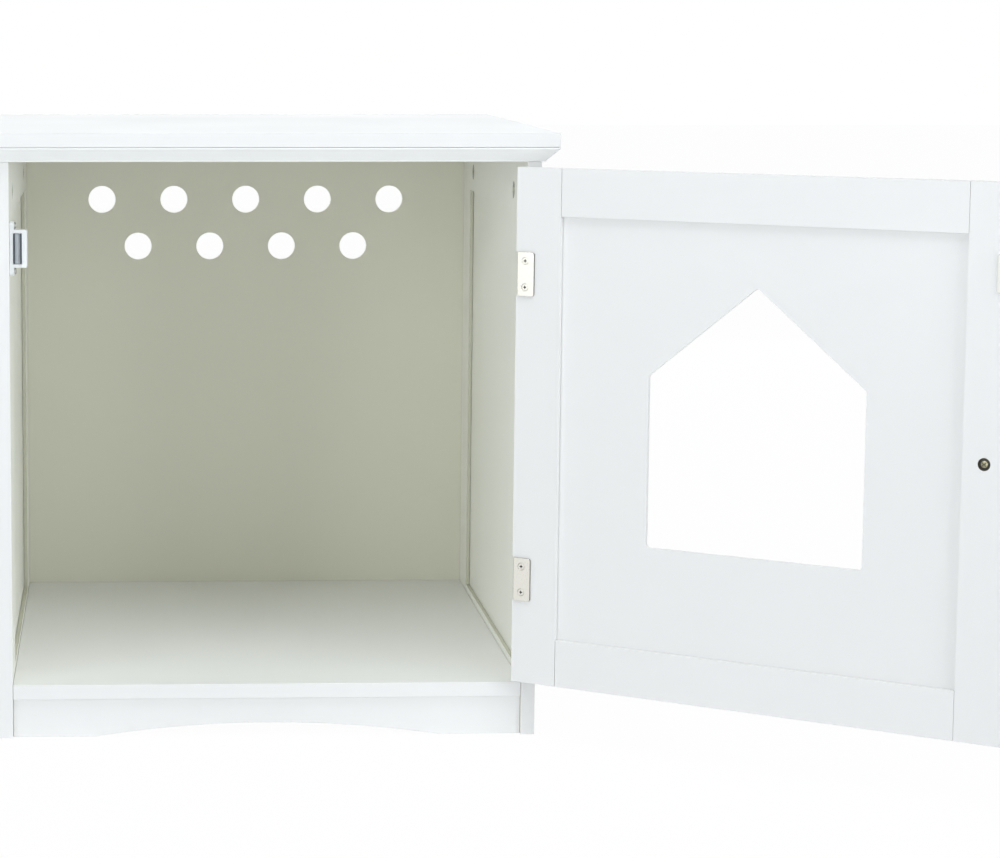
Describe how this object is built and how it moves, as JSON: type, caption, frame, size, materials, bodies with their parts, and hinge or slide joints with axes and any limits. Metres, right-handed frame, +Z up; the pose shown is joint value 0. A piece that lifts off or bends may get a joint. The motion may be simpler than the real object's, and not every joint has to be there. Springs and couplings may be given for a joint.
{
  "type": "litter box cabinet",
  "caption": "White side table cabinet that hides a litter tray, with a hinged front door that has a house-shaped cat opening, and vent holes in the back.",
  "frame": {"origin": "on the floor, below the middle of the object's box with the door standing open", "axes": "+X to the viewer's right, towards the hinge side; +Y to the cabinet's back; +Z up"},
  "size_m": [0.8274, 0.7614, 0.527],
  "materials": {
    "white_paint": "satin white paint on fibreboard",
    "white_plastic": "moulded white",
    "nickel": "satin nickel plating",
    "zinc": "zinc plating",
    "brass": "dull yellow passivated",
    "ferrite": "matt dark grey",
    "beech": "bare wood"
  },
  "bodies": {
    "cabinet": {"left_front_stile": "white_paint", "left_back_stile": "white_paint", "left_top_rail": "white_paint", "left_bottom_rail": "white_paint", "left_panel": "white_paint", "right_front_stile": "white_paint", "right_back_stile": "white_paint", "right_top_rail": "white_paint", "right_bottom_rail": "white_paint", "right_panel": "white_paint", "back_panel": "white_paint", "bottom_shelf": "white_paint", "kickboard": "white_paint", "shelf_dowel_left_front": "beech", "shelf_dowel_left_back": "beech", "shelf_dowel_right_front": "beech", "shelf_dowel_right_back": "beech", "top_slab": "white_paint", "front_moulding": "white_paint", "left_moulding": "white_paint", "right_moulding": "white_paint", "back_batten": "white_paint", "cam_lock_left_front": "zinc", "cam_bolt_left_front": "zinc", "cam_lock_left_back": "zinc", "cam_bolt_left_back": "zinc", "cam_lock_right_front": "zinc", "cam_bolt_right_front": "zinc", "cam_lock_right_back": "zinc", "cam_bolt_right_back": "zinc", "catch_housing": "white_plastic", "catch_magnet": "ferrite", "catch_pole_plate_inner": "zinc", "catch_pole_plate_outer": "zinc", "catch_screw_upper": "zinc", "catch_screw_lower": "zinc", "upper_hinge_frame_leaf": "nickel", "upper_hinge_pin": "nickel", "upper_frame_screw_top": "nickel", "upper_frame_screw_bottom": "nickel", "lower_hinge_frame_leaf": "nickel", "lower_hinge_pin": "nickel", "lower_frame_screw_top": "nickel", "lower_frame_screw_bottom": "nickel"},
    "door": {"upper_hinge_door_leaf": "nickel", "upper_door_screw_top": "nickel", "upper_door_screw_bottom": "nickel", "lower_hinge_door_leaf": "nickel", "lower_door_screw_top": "nickel", "lower_door_screw_bottom": "nickel", "door_hinge_stile": "white_paint", "door_free_stile": "white_paint", "door_top_rail": "white_paint", "door_bottom_rail": "white_paint", "door_panel": "white_paint", "strike_plate": "zinc", "strike_screw": "zinc", "knob": "nickel", "knob_bolt": "brass"}
  },
  "joints": [
    {"name": "door_hinge", "type": "hinge", "parent": "cabinet", "child": "door", "pos_m": [0.05479, -0.11391, 0.2747], "axis": [0, 0, 1], "range_deg": [-144.6, 35.4]}
  ]
}
